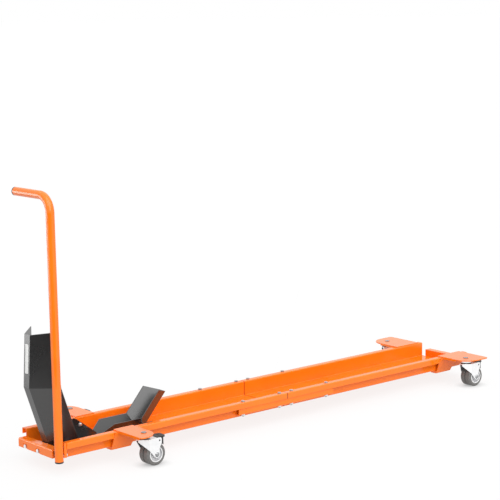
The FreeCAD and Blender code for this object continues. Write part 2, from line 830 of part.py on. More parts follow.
def fork(name, x, y, cup_under):
    """A pressed fork: crown that narrows to a nose, raised race, two legs and their slanting cheeks."""
    half = dim.fork_width / 2
    sheet_size = dim.fork_thickness
    body = new_body(f"{name}_fork", x, y)
    crown = new_sketch(body, "XY_Plane", dim.fork_top - sheet_size)
    nose, nose_half = -dim.nose_reach, dim.nose_width / 2
    plan = [(nose, nose_half), (dim.cheek_rear, half), (dim.fork_crown_rear, half)]
    draw_outline(crown, plan + [(along, -across) for along, across in reversed(plan)])
    pad(body, crown, sheet_size)
    race = new_sketch(body, "XY_Plane", dim.fork_top)
    draw_circles(race, [(ZERO, ZERO)], dim.race_radius)
    pad(body, race, cup_under - dim.bearing_gap - dim.fork_top)
    foot = dim.fork_foot
    leg_rear = dim.pedal_pivot_reach + dim.leg_margin
    leg = [
        (dim.cheek_rear, dim.fork_top),
        (leg_rear - dim.leg_margin / 2, dim.fork_top),
        (leg_rear, dim.fork_top - dim.leg_margin / 2),
        (leg_rear, dim.pedal_pivot_height - dim.leg_margin),
        (dim.caster_trail + foot, dim.wheel_radius + foot * 2),
        (dim.caster_trail + foot, dim.wheel_radius - foot / 2),
        (dim.caster_trail + foot / 2, dim.wheel_radius - foot),
        (dim.caster_trail - foot / 2, dim.wheel_radius - foot),
        (dim.caster_trail - foot, dim.wheel_radius - foot / 2),
        (dim.cheek_rear, dim.cheek_bottom),
    ]
    for start in (-half, half - sheet_size):
        sketch = new_sketch(body, "XZ_Plane", start)
        draw_outline(sketch, leg)
        pad(body, sketch, sheet_size)
    cheek_run = dim.cheek_rear - nose
    cheek_width = sheet_size * slant_length(cheek_run, half - nose_half) / cheek_run
    for side in SIDES.values():
        cheek = [
            (nose, side * nose_half),
            (dim.cheek_rear, side * half),
            (dim.cheek_rear, side * (half - cheek_width)),
            (nose, side * (nose_half - cheek_width)),
        ]
        sketch = new_sketch(body, "XY_Plane", dim.cheek_bottom)
        draw_outline(sketch, cheek)
        pad(body, sketch, dim.fork_top - dim.cheek_bottom)
    under = [
        (nose - dim.cut_overrun, dim.cheek_bottom - dim.cut_overrun),
        (dim.cheek_rear, dim.cheek_bottom - dim.cut_overrun),
        (dim.cheek_rear, dim.cheek_bottom),
        (nose, dim.fork_top - dim.nose_depth),
        (nose - dim.cut_overrun, dim.fork_top - dim.nose_depth),
    ]
    slope = new_sketch(body, "XZ_Plane", -half - dim.cut_overrun)
    draw_outline(slope, under)
    pocket(body, slope, along_normal=True)
    bore = new_sketch(body, "XY_Plane")
    draw_circles(bore, [(ZERO, ZERO)], dim.kingpin_diameter / 2 + dim.running_clearance)
    pocket(body, bore, along_normal=True)
    holes = new_sketch(body, "XZ_Plane", -half - dim.cut_overrun)
    draw_circles(holes, [(dim.caster_trail, dim.wheel_radius)], dim.axle_diameter / 2 + dim.hole_clearance)
    pivot = (dim.pedal_pivot_reach, dim.pedal_pivot_height)
    draw_circles(holes, [pivot], dim.pedal_pin_radius + dim.running_clearance)
    pocket(body, holes, along_normal=True)


def pedal(name, x, y):
    """A brake pedal on its own pivot pins, with a shoe that tips down onto the tread."""
    body = new_body(f"{name}_pedal", x, y)
    half = dim.pedal_width / 2
    inside = dim.fork_width / 2 - dim.fork_thickness - dim.pedal_side_gap
    pivot = (dim.pedal_pivot_reach, dim.pedal_pivot_height)
    under = dim.pedal_top - dim.pedal_thickness
    plan = new_sketch(body, "XY_Plane", under)
    draw_outline(plan, rectangle((dim.pedal_start, -half), (dim.pedal_reach, half)))
    pad(body, plan, dim.pedal_thickness)
    corners = [(dim.pedal_reach, -half), (dim.pedal_reach, half)]
    round_edges(body, dim.pedal_corner, edge_at("xy", corners))
    boss = new_sketch(body, "XZ_Plane", -inside)
    draw_circles(boss, [pivot], dim.pedal_boss_radius)
    pad(body, boss, inside * 2)
    pins = new_sketch(body, "XZ_Plane", -dim.fork_width / 2)
    draw_circles(pins, [pivot], dim.pedal_pin_radius)
    pad(body, pins, dim.fork_width)
    shoe = new_sketch(body, "XZ_Plane", -half)
    profile = [
        (dim.shoe_front, under),
        (dim.shoe_rear, under),
        (dim.shoe_rear, dim.shoe_rear_bottom),
        (dim.shoe_middle, dim.shoe_middle_bottom),
        (dim.shoe_front, dim.shoe_front_bottom),
    ]
    draw_outline(shoe, profile)
    pad(body, shoe, dim.pedal_width)


def kingpins():
    """Swivel pins of the four casters: a hex head on the plate, headed over under the fork."""
    plate_top = dim.deck_height + dim.plate_thickness
    crown_under = dim.fork_top - dim.fork_thickness
    foot_top = crown_under - dim.bearing_gap
    solids = []
    for name, (x, y) in caster_places().items():
        head = hexagon(f"{name}_kingpin_head", dim.kingpin_across, dim.kingpin_head)
        head.setExpression("Placement.Base.z", plate_top.formula)
        shank = primitive("Cylinder", f"{name}_kingpin_shank", Radius=dim.kingpin_diameter / 2,
                          Height=plate_top - foot_top)
        shank.setExpression("Placement.Base.z", foot_top.formula)
        foot = primitive("Cylinder", f"{name}_kingpin_foot", Radius=dim.kingpin_foot_radius,
                         Height=dim.kingpin_foot_height)
        foot.setExpression("Placement.Base.z", (foot_top - dim.kingpin_foot_height).formula)
        whole = doc.addObject("Part::MultiFuse", f"{name}_kingpin")
        whole.Shapes = [head, shank, foot]
        put(whole, x, y, ZERO)
        solids.append(whole)
    group("caster_kingpins", solids)


def saddle_section(spread, depth):
    """The outline of a folded V: a flat strip with two limbs, as (across, depth) points."""
    sheet_size = dim.chock_sheet
    limb = sheet_size * slant_length(spread, depth) / depth
    strip = dim.strip_width / 2
    return mirrored([
        (strip, ZERO),
        (strip + spread, depth),
        (strip + spread - limb, depth),
        (strip + spread * sheet_size / depth - limb, sheet_size),
    ])


def front_stop():
    """The tall folded stop in front of the tyre, leaning forward to a crease and then back."""
    body = new_body("front_stop")
    share = dim.stop_top_depth / dim.stop_wing_depth
    rear_top = dim.stop_top_height + dim.stop_top_rise
    levels = [
        (base_top, stop_foot_reach, dim.stop_wing_spread, dim.stop_wing_depth),
        (dim.stop_fold_height, stop_fold_reach, dim.stop_wing_spread, dim.stop_wing_depth),
        (rear_top + dim.cut_overrun, stop_top_reach, dim.stop_wing_spread * share, dim.stop_top_depth),
    ]
    sketches = []
    for height, reach, spread, depth in levels:
        sketch = new_sketch(body, "XY_Plane", height)
        draw_outline(sketch, [(back - reach, across) for across, back in saddle_section(spread, depth)])
        sketches.append(sketch)
    loft = body.newObject("PartDesign::AdditiveLoft", "front_stop_loft")
    loft.Profile = sketches[0]
    loft.Sections = sketches[1:]
    loft.Ruled = True
    doc.recompute()
    trim = new_sketch(body, "XZ_Plane", -dim.base_width / 2)
    ahead = -stop_top_reach - dim.cut_overrun
    behind = dim.stop_top_depth + dim.cut_overrun - stop_top_reach
    above = rear_top + dim.cut_overrun * 2
    draw_outline(trim, [(ahead, dim.stop_top_height), (behind, rear_top), (behind, above), (ahead, above)])
    pocket(body, trim, along_normal=True)


def base_bolt_places():
    """Plan places of the bolts at the corners of the chock's base plate."""
    along = (dim.base_bolt_inset - base_front_reach, -base_rear_reach - dim.base_bolt_inset)
    across = dim.base_width / 2 - dim.base_bolt_inset
    return [(x, side * across) for side in SIDES.values() for x in along]


def stop_base():
    """The plate that carries the front stop and the cradle on the trough's floor."""
    body = new_body("stop_base")
    sketch = new_sketch(body, "XY_Plane", floor_top)
    half = dim.base_width / 2
    draw_outline(sketch, rectangle((-base_front_reach, -half), (-base_rear_reach, half)))
    pad(body, sketch, dim.base_thickness)
    holes = new_sketch(body, "XY_Plane")
    draw_circles(holes, base_bolt_places(), bolt_hole)
    pocket(body, holes, along_normal=True)


def front_cradle():
    """A short V saddle that slopes down behind the front stop, with a stud on each limb."""
    body = new_body("front_cradle")
    section = saddle_section(dim.saddle_spread, dim.cradle_depth)
    ends = [
        (-cradle_front_reach, dim.cradle_front_height),
        (-cradle_rear_reach, dim.cradle_front_height - dim.cradle_drop),
    ]
    sketches = []
    for x, height in ends:
        sketch = new_sketch(body, "YZ_Plane", x)
        draw_outline(sketch, [(across, height + up) for across, up in section])
        sketches.append(sketch)
    loft = body.newObject("PartDesign::AdditiveLoft", "front_cradle_loft")
    loft.Profile = sketches[0]
    loft.Sections = sketches[1:]
    loft.Ruled = True
    doc.recompute()
    foot = new_sketch(body, "XZ_Plane", -dim.base_width / 2)
    low = (-cradle_front_reach - dim.cut_overrun, ZERO)
    draw_outline(foot, rectangle(low, (-cradle_rear_reach + dim.cut_overrun, base_top)))
    pocket(body, foot, along_normal=True)
    front_top = dim.cradle_front_height + dim.cradle_depth
    slant = slant_length(dim.cradle_length, dim.cradle_drop)
    back = dim.cradle_length * dim.cradle_round / slant
    down = dim.cradle_drop * dim.cradle_round / slant
    curve = [(back * late - cradle_front_reach, front_top - dim.cradle_round * early - down * late)
             for early, late in CURVE_SHARES]
    above = front_top + dim.cut_overrun
    corner = new_sketch(body, "XZ_Plane", -dim.base_width / 2)
    draw_outline(corner, curve + [(curve[-1][0], above), (low[0], above), (low[0], curve[0][1])])
    pocket(body, corner, along_normal=True)
    drop_at_stud = dim.cradle_drop * dim.stud_inset / dim.cradle_length
    height = front_top - drop_at_stud - dim.stud_below_edge
    across = dim.strip_width / 2 + dim.saddle_spread
    across = across - dim.saddle_spread * dim.stud_below_edge / dim.cradle_depth
    dome = [
        (ZERO, dim.running_clearance),
        (dim.stud_radius, dim.running_clearance),
        (dim.stud_radius, dim.stud_height / 2),
        (dim.stud_radius / 2, dim.stud_height),
        (ZERO, dim.stud_height),
    ]
    for name, side in SIDES.items():
        along = FreeCAD.Vector(dim.cradle_length.value, 0, -dim.cradle_drop.value)
        limb = FreeCAD.Vector(0, side * dim.saddle_spread.value, dim.cradle_depth.value)
        outward = limb.cross(along) * side
        turn = FreeCAD.Rotation(FreeCAD.Vector(0, 0, 1), outward)
        turned(f"cradle_stud_{name}", dome, dim.stud_inset - cradle_front_reach, side * across, height, turn)


def wheel_rocker():
    """The rocker: a level saddle under the tyre and a sloping one behind it, folded as one."""
    body = new_body("wheel_rocker")
    path = new_sketch(body, "XZ_Plane")
    points = [
        (-rocker_front_reach, dim.rocker_height),
        (-rocker_bend_reach, dim.rocker_height),
        (-rocker_tail_reach, dim.rocker_tail_height),
    ]
    for index in range(2):
        path.addGeometry(Part.LineSegment(flat_point(points[index]), flat_point(points[index + 1])))
    path.addConstraint(Sketcher.Constraint("Coincident", 0, 2, 1, 1))
    pin_point(path, 0, 1, points[0])
    pin_point(path, 1, 1, points[1])
    pin_point(path, 1, 2, points[2])
    section = new_sketch(body, "YZ_Plane", -rocker_front_reach)
    outline = saddle_section(dim.saddle_spread, dim.rocker_depth)
    draw_outline(section, [(across, dim.rocker_height + up) for across, up in outline])
    pipe = body.newObject("PartDesign::AdditivePipe", "wheel_rocker_fold")
    pipe.Profile = section
    pipe.Spine = path
    pipe.Transition = "Right corner"
    doc.recompute()
    top = dim.rocker_height + dim.rocker_depth
    trim = new_sketch(body, "XZ_Plane", -dim.base_width / 2)
    nose_end = dim.rocker_nose - rocker_front_reach
    nose = [
        (-rocker_front_reach, dim.rocker_height + dim.chock_sheet),
        (nose_end, top),
        (nose_end, top + dim.cut_overrun),
        (-rocker_front_reach - dim.cut_overrun, top + dim.cut_overrun),
        (-rocker_front_reach - dim.cut_overrun, dim.rocker_height + dim.chock_sheet),
    ]
    draw_outline(trim, nose)
    rise = dim.rocker_tail_height - dim.rocker_height
    length = slant_length(dim.rocker_tail_run, rise)
    forward = (dim.rocker_tail_run / length, rise / length)
    tail = (-rocker_tail_reach, dim.rocker_tail_height)

    def along_tail(ahead, inward):
        """A point beside the end of the sloping saddle, ahead of it and in from its strip."""
        return (tail[0] + forward[0] * ahead - forward[1] * inward,
                tail[1] + forward[1] * ahead + forward[0] * inward)

    corner_cut = [
        along_tail(ZERO, dim.chock_sheet),
        along_tail(-dim.rocker_tail_cut, dim.rocker_depth + dim.cut_overrun),
        along_tail(dim.cut_overrun, dim.rocker_depth + dim.cut_overrun),
        along_tail(dim.cut_overrun, dim.chock_sheet),
    ]
    draw_outline(trim, corner_cut)
    pocket(body, trim, along_normal=True)
    hole = new_sketch(body, "XZ_Plane", -dim.base_width / 2)
    pin_radius = dim.pivot_diameter / 2 + dim.running_clearance
    draw_circles(hole, [(-pivot_reach, dim.pivot_height)], pin_radius)
    pocket(body, hole, along_normal=True)


def bracket_bolt_places():
    """Plan places of the bolts through the feet of the rocker's brackets."""
    across = dim.bracket_spacing / 2 + dim.bracket_foot - dim.bracket_bolt_inset
    return [(-pivot_reach, side * across) for side in SIDES.values()]


def rocker_pivot():
    """Brackets on the trough's floor and the pin through them that the rocker tips on."""
    inside = dim.bracket_spacing / 2
    outside = inside + dim.bracket_thickness
    start = -pivot_reach - dim.bracket_length / 2
    top = floor_top + dim.bracket_height
    for name, side in SIDES.items():
        body = new_body(f"pivot_bracket_{name}")
        sketch = new_sketch(body, "YZ_Plane", start)
        foot_top = floor_top + dim.bracket_thickness
        profile = [
            (inside, floor_top),
            (inside + dim.bracket_foot, floor_top),
            (inside + dim.bracket_foot, foot_top),
            (outside, foot_top),
            (outside, top),
            (inside, top),
        ]
        draw_outline(sketch, [(side * across, up) for across, up in profile])
        pad(body, sketch, dim.bracket_length)
        ends = [(start, top), (start + dim.bracket_length, top)]
        round_edges(body, dim.bracket_round, edge_at("xz", ends))
        hole = new_sketch(body, "XZ_Plane", -dim.base_width / 2)
        pin_radius = dim.pivot_diameter / 2 + dim.running_clearance
        draw_circles(hole, [(-pivot_reach, dim.pivot_height)], pin_radius)
        pocket(body, hole, along_normal=True)
        bolt_sketch = new_sketch(body, "XY_Plane")
        places = [place for place in bracket_bolt_places() if place[1].value * side > 0]
        draw_circles(bolt_sketch, places, bolt_hole)
        pocket(body, bolt_sketch, along_normal=True)
    pin = dim.pivot_diameter / 2
    face = outside + dim.side_clearance
    rod = [
        (ZERO, face + dim.pivot_head_height),
        (dim.pivot_head_radius, face + dim.pivot_head_height),
        (dim.pivot_head_radius, face),
        (pin, face),
    ]
    below = [(radius, -height) for radius, height in reversed(rod)]
    turned("pivot_pin", rod + below, -pivot_reach, ZERO, dim.pivot_height, ALONG_Y)


def floor_fasteners():
    """Bolts through the trough's floor, and every nut of the frame."""
    base_length = dim.base_thickness + dim.sheet_thickness + dim.nut_height + dim.bolt_end
    places = base_bolt_places() + bracket_bolt_places()
    bolts = [bolt(f"floor_bolt_{index}", base_length, x, y, base_top)
             for index, (x, y) in enumerate(places)]
    group("floor_bolts", bolts)
    seats = [(x, y, floor_under) for x, y in places]
    seats += [(x, y, splice_under) for x, y in splice_places()]
    group("frame_nuts", [nut(f"frame_nut_{index}", *seat) for index, seat in enumerate(seats)])


def check_document():
    """Stop if any object failed or any sub-part has no sound shape."""
    doc.recompute()
    failed = [item.Label for item in doc.Objects if {"Invalid", "Error"} & set(item.State)]
    failed += [piece.Label for piece in pieces if piece.Shape.isNull() or not piece.Shape.isValid()]
    if failed:
        raise RuntimeError("failed: " + ", ".join(failed))


for end_name in ENDS:
    trough(end_name)
    cross_member(end_name)
    for side_name in SIDES:
        outrigger(end_name, side_name)
splices()
crossbars()
handle()
for caster_name, caster_place in caster_places().items():
    caster(caster_name, *caster_place)
kingpins()
front_stop()
stop_base()
front_cradle()
wheel_rocker()
rocker_pivot()
floor_fasteners()
check_document()

os.makedirs("parts", exist_ok=True)
for piece in pieces:
    piece.Shape.exportStep(f"parts/{piece.Label}.step")
    box = piece.Shape.BoundBox
    lengths = f"{box.XLength:.1f} x {box.YLength:.1f} x {box.ZLength:.1f}"
    print(f"{piece.Label}: {len(piece.Shape.Solids)} solids, {lengths}")
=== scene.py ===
"""Looks of the motorcycle mover dolly: finishes, small surface pieces, studio and camera."""

import logging
import math
from dataclasses import dataclass, replace
from enum import Enum

import bpy
import numpy as np
from mathutils import Matrix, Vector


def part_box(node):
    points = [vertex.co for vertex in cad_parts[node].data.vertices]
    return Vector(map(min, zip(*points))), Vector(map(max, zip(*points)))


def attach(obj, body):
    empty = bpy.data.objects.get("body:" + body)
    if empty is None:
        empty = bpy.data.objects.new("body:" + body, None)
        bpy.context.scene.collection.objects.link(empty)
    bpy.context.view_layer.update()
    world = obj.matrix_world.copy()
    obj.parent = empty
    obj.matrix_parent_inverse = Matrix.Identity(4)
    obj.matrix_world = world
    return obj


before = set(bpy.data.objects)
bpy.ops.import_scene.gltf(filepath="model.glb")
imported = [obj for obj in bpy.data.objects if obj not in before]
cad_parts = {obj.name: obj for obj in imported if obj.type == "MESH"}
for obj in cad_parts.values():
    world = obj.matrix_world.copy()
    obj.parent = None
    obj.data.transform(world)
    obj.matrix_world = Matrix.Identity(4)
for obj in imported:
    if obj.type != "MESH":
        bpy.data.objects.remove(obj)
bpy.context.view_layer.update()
MILLIMETRE = 0.001
SEAM_PLACE = (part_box("front_trough")[1].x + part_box("rear_trough")[0].x) / 2
SLANT = math.sqrt(0.5)
FULL_TURN = 2.0 * math.pi
LOG = logging.getLogger("dolly")

Color = tuple[float, float, float]
Point = tuple[float, float, float]
Surface = tuple[np.ndarray, list[list[int]]]
Value = "float | Socket"
Tint = "Color | Socket"
WHITE = (1.0, 1.0, 1.0, 1.0)


class Socket:
    """A shader value: sums and products of sockets add their Math nodes."""

    def __init__(self, tree: "ShaderTree", socket: bpy.types.NodeSocket) -> None:
        """Keep the tree and the output socket."""
        self.tree = tree
        self.socket = socket

    def math(self, operation: str, *values: Value) -> "Socket":
        """Add one Math node.

        Args:
            operation: The Math node's operation.
            values: Its inputs, in order.

        Returns:
            The node's result.
        """
        return self.tree.value("ShaderNodeMath", {"operation": operation}, dict(enumerate(values)))

    def __add__(self, other: Value) -> "Socket":
        """Sum of two values."""
        return self.math("ADD", self, other)

    def __sub__(self, other: Value) -> "Socket":
        """Difference of two values."""
        return self.math("SUBTRACT", self, other)

    def __rsub__(self, other: Value) -> "Socket":
        """Difference with this value taken away."""
        return self.math("SUBTRACT", other, self)

    def __mul__(self, other: Value) -> "Socket":
        """Product of two values."""
        return self.math("MULTIPLY", self, other)

    __radd__ = __add__
    __rmul__ = __mul__

    def clamped(self) -> "Socket":
        """The value kept between 0 and 1."""
        return self.math("MINIMUM", self.math("MAXIMUM", self, 0.0), 1.0)

    def above(self, low: float, high: float) -> "Socket":
        """A ramp from 0 at low to 1 at high."""
        return ((self - low) * (1.0 / (high - low))).clamped()


class ShaderTree:
    """A node tree with one way of adding nodes."""

    MIX_FIRST, MIX_SECOND, MIX_RESULT = 6, 7, 2
    BEVEL_SAMPLES = 6
    EDGE_STARTS, EDGE_FULL = 0.02, 0.3

    def __init__(self, tree: bpy.types.NodeTree) -> None:
        """Start from an empty tree."""
        self.tree = tree
        tree.nodes.clear()

    def node(self, kind: str, settings: dict | None = None, inputs: dict | None = None) -> bpy.types.Node:
        """Add a node.

        Args:
            kind: The node's type.
            settings: Attributes set first, such as an operation.
            inputs: Values or sockets by input name or number.

        Returns:
            The new node.
        """
        made = self.tree.nodes.new(kind)
        for name, setting in (settings or {}).items():
            setattr(made, name, setting)
        for key, given in (inputs or {}).items():
            if isinstance(given, Socket):
                self.tree.links.new(given.socket, made.inputs[key])
            else:
                made.inputs[key].default_value = given
        return made

    def value(self, kind: str, settings: dict | None = None, inputs: dict | None = None,
              output: str | int = 0) -> Socket:
        """Add a node and take one of its outputs."""
        return Socket(self, self.node(kind, settings, inputs).outputs[output])

    def place(self) -> Socket:
        """The object's own coordinates."""
        return self.value("ShaderNodeTexCoord", output="Object")

    def noise(self, size: float, detail: float) -> Socket:
        """A cloudy pattern, about 0.5 on average, with clouds of a size in metres and some finer detail."""
        inputs = {"Vector": self.place(), "Scale": 1.0 / size, "Detail": detail}
        return self.value("ShaderNodeTexNoise", {}, inputs)

    def mix(self, factor: Value, first: Tint, second: Tint) -> Socket:
        """A colour between two others.

        Args:
            factor: 0 for the first colour, 1 for the second.
            first: A colour, or a socket that carries one.
            second: Another.

        Returns:
            The mixed colour.
        """
        tints = [tint if isinstance(tint, Socket) else (*tint, 1.0) for tint in (first, second)]
        inputs = {"Factor": factor, self.MIX_FIRST: tints[0], self.MIX_SECOND: tints[1]}
        return self.value("ShaderNodeMix", {"data_type": "RGBA"}, inputs, self.MIX_RESULT)

    def softened(self, radius: float) -> Socket:
        """The normal that sharp edges would have with a small radius."""
        return self.value("ShaderNodeBevel", {"samples": self.BEVEL_SAMPLES}, {"Radius": radius})

    def bump(self, height: Socket, distance: float, edge_radius: float) -> Socket:
        """A normal with relief and softened edges.

        Args:
            height: The relief, 0 to 1.
            distance: The relief's depth, in metres.
            edge_radius: The radius that sharp edges seem to have, in metres.

        Returns:
            The normal.
        """
        relief = {"Height": height, "Distance": distance, "Normal": self.softened(edge_radius)}
        return self.value("ShaderNodeBump", {}, relief)

    def edge(self, radius: float) -> Socket:
        """A mask that rises towards sharp edges: where a softened normal leaves the true one.

        Args:
            radius: How far the mask reaches from an edge, in metres.

        Returns:
            The mask, 0 on flat faces and 1 at the edges.
        """
        normals = {0: self.softened(radius), 1: self.value("ShaderNodeNewGeometry", output="Normal")}
        same = self.value("ShaderNodeVectorMath", {"operation": "DOT_PRODUCT"}, normals, "Value")
        return (1.0 - same).above(self.EDGE_STARTS, self.EDGE_FULL)


def new_tree(name: str) -> tuple[bpy.types.Material, ShaderTree]:
    """A material with an empty tree.

    Args:
        name: The material's name.

    Returns:
        The material and its tree.
    """
    material = bpy.data.materials.new(name)
    material.use_nodes = True
    return material, ShaderTree(material.node_tree)


def close_tree(tree: ShaderTree, constants: dict, links: dict) -> None:
    """Add the surface shader and the output.

    Args:
        tree: The tree to finish.
        constants: Values that are the same all over, by socket name.
        links: Values that vary over the surface, by socket name.
    """
    surface = tree.value("ShaderNodeBsdfPrincipled", {}, {**constants, **links})
    tree.node("ShaderNodeOutputMaterial", {}, {"Surface": surface})


@dataclass(frozen=True)
class PowderCoat:
    """Baked powder paint: a faint peel, a cloudy tone, thin, paler edges and painted shade along the butt
    joint.
    """

    name: str
    color: Color
    deep: Color
    edge_color: Color
    roughness: float
    shine: float
    peel_size: float = 2.2 * MILLIMETRE
    peel_depth: float = 0.02 * MILLIMETRE
    peel_detail: float = 1.0
    cloud_size: float = 90 * MILLIMETRE
    cloud_detail: float = 3.0
    cloud_span: tuple[float, float] = (0.3, 0.7)
    cloud_roughness: float = 0.08
    edge_radius: float = 1.2 * MILLIMETRE
    edge_wear: float = 0.35
    # Painted shade along the butt joint: its place along X, the width of the fully dark core, the reach of
    # the fade and its dark red.
    seam: float | None = None
    seam_core: float = 1.0 * MILLIMETRE
    seam_reach: float = 3.0 * MILLIMETRE
    seam_shade_color: Color = (0.3, 0.04, 0.004)

    def material(self) -> bpy.types.Material:
        """Build the finish.

        Returns:
            The new material.
        """
        material, tree = new_tree(self.name)
        peel = tree.noise(self.peel_size, self.peel_detail)
        cloud = tree.noise(self.cloud_size, self.cloud_detail)
        base = tree.mix(cloud.above(*self.cloud_span), self.deep, self.color)
        shade = tree.mix(tree.edge(self.edge_radius) * self.edge_wear, base, self.edge_color)
        # Painted shade: the paint darkens within a few millimetres of the butt joint, standing in for shadow
        # in the gap between the troughs.
        if self.seam is not None:
            along = tree.value("ShaderNodeSeparateXYZ", {}, {0: tree.place()}, "X") - self.seam
            beyond = along.math("ABSOLUTE", along).above(self.seam_core, self.seam_reach)
            shade = tree.mix(beyond, self.seam_shade_color, shade)
        links = {
            "Base Color": shade,
            "Roughness": self.roughness + self.cloud_roughness * cloud,
            "Normal": tree.bump(peel, self.peel_depth, self.edge_radius),
        }
        close_tree(tree, {"Specular IOR Level": self.shine}, links)
        return material


@dataclass(frozen=True)
class ZincPlate:
    """Bright zinc plate: pale metal with a cloudy passivated tone and fine grain."""

    name: str
    color: Color
    dull: Color
    roughness: float
    metallic: float = 0.85
    grain_size: float = 0.8 * MILLIMETRE
    grain_detail: float = 1.0
    grain_depth: float = 0.01 * MILLIMETRE
    cloud_size: float = 14 * MILLIMETRE
    cloud_detail: float = 3.0
    cloud_span: tuple[float, float] = (0.35, 0.7)
    cloud_roughness: float = 0.15
    edge_radius: float = 0.8 * MILLIMETRE

    def material(self) -> bpy.types.Material:
        """Build the finish.

        Returns:
            The new material.
        """
        material, tree = new_tree(self.name)
        grain = tree.noise(self.grain_size, self.grain_detail)
        cloud = tree.noise(self.cloud_size, self.cloud_detail)
        links = {
            "Base Color": tree.mix(cloud.above(*self.cloud_span), self.color, self.dull),
            "Roughness": self.roughness + self.cloud_roughness * cloud,
            "Normal": tree.bump(grain, self.grain_depth, self.edge_radius),
        }
        close_tree(tree, {"Metallic": self.metallic}, links)
        return material


@dataclass(frozen=True)
class Moulded:
    """Moulded plastic or rubber: fine grain, a little scuffing and soft edges."""

    name: str
    color: Color
    scuffed: Color
    roughness: float
    grain_size: float = 0.7 * MILLIMETRE
    grain_detail: float = 2.0
    grain_depth: float = 0.03 * MILLIMETRE
    scuff_size: float = 11 * MILLIMETRE
    scuff_detail: float = 4.0
    scuff_span: tuple[float, float] = (0.45, 0.75)
    scuff_share: float = 0.6
    scuff_roughness: float = 0.12
    edge_radius: float = 1.0 * MILLIMETRE
    edge_share: float = 0.5

    def material(self) -> bpy.types.Material:
        """Build the finish.

        Returns:
            The new material.
        """
        material, tree = new_tree(self.name)
        grain = tree.noise(self.grain_size, self.grain_detail)
        scuff = tree.noise(self.scuff_size, self.scuff_detail).above(*self.scuff_span)
        worn = scuff * self.scuff_share + tree.edge(self.edge_radius) * self.edge_share
        links = {
            "Base Color": tree.mix(worn.clamped(), self.color, self.scuffed),
            "Roughness": self.roughness + self.scuff_roughness * scuff,
            "Normal": tree.bump(grain, self.grain_depth, self.edge_radius),
        }
        close_tree(tree, {}, links)
        return material


class Finish(Enum):
    """Every finish on the dolly."""

    ORANGE = PowderCoat("orange_powder_coat", color=(1.0, 0.2, 0.008), deep=(0.97, 0.182, 0.007),
                        edge_color=(1.0, 0.36, 0.08), roughness=0.08, shine=0.44)
    TROUGH = replace(ORANGE, name="trough_powder_coat", seam=SEAM_PLACE)
    BLACK = PowderCoat("black_powder_coat", color=(0.014, 0.014, 0.014), deep=(0.011, 0.011, 0.011),
                       edge_color=(0.06, 0.06, 0.06), roughness=0.24, shine=1.0)
    ZINC = ZincPlate("zinc_plate", (0.8, 0.81, 0.83), (0.64, 0.65, 0.67), 0.26)
    PALE_ZINC = ZincPlate("pale_zinc_plate", (0.95, 0.955, 0.96), (0.89, 0.895, 0.9), 0.24)
    GREY_ZINC = ZincPlate("grey_zinc_plate", (0.36, 0.365, 0.37), (0.28, 0.285, 0.29), 0.42)
    DULL_ZINC = ZincPlate("dull_zinc_plate", (0.45, 0.45, 0.445), (0.34, 0.34, 0.335), 0.35)
    PEDAL = Moulded("pedal_black", (0.016, 0.016, 0.016), (0.05, 0.05, 0.05), 0.42)
    CAP = Moulded("cap_black", (0.02, 0.019, 0.018), (0.06, 0.06, 0.06), 0.5)
    TREAD = Moulded("tread_grey", (0.135, 0.13, 0.125), (0.2, 0.195, 0.19), 0.6)
    HUB = Moulded("hub_grey", (0.58, 0.58, 0.59), (0.66, 0.66, 0.67), 0.45)
    RIM = Moulded("rim_pale", (0.8, 0.8, 0.8), (0.7, 0.7, 0.7), 0.4)
    LABEL = Moulded("label_white", (0.8, 0.8, 0.79), (0.74, 0.74, 0.73), 0.65)


class FinishShelf:
    """Makes each finish once and hands it out."""

    def __init__(self) -> None:
        """Start with none made."""
        self.made: dict[Finish, bpy.types.Material] = {}

    def get(self, finish: Finish) -> bpy.types.Material:
        """The material of a finish.

        Args:
            finish: Which one.

        Returns:
            Its material, made at the first call.
        """
        if finish not in self.made:
            self.made[finish] = finish.value.material()
        return self.made[finish]

    def coat(self, piece: bpy.types.Object, finish: Finish) -> None:
        """Put a finish on every slot of a piece."""
        piece.data.materials.clear()
        piece.data.materials.append(self.get(finish))


def skin(grid: np.ndarray, joined: bool) -> Surface:
    """Faces over a grid of points: rows follow a path and columns run round a profile.

    The columns always join up.  The rows join up too, or each end closes on its own middle point.

    Args:
        grid: Points as (rows, columns, 3).
        joined: Whether the last row joins the first.

    Returns:
        Points as (count, 3) and the corner numbers of each face.
    """
    rows, columns = grid.shape[:2]
    points = grid.reshape(-1, 3)
    row, column = np.meshgrid(np.arange(rows if joined else rows - 1), np.arange(columns), indexing="ij")
    after, beside = (row + 1) % rows, (column + 1) % columns
    quads = np.stack([row * columns + column, after * columns + column,
                      after * columns + beside, row * columns + beside], axis=-1).reshape(-1, 4)
    faces = quads.tolist()
    if not joined:
        points = np.concatenate([points, grid[0].mean(axis=0)[None], grid[-1].mean(axis=0)[None]])
        turn = np.arange(columns)
        following = (turn + 1) % columns
        first = np.stack([np.full(columns, rows * columns), turn, following], axis=1)
        last_row = (rows - 1) * columns
        last = np.stack([np.full(columns, rows * columns + 1), last_row + following, last_row + turn], axis=1)
        faces += first.tolist() + last.tolist()
    return points, faces


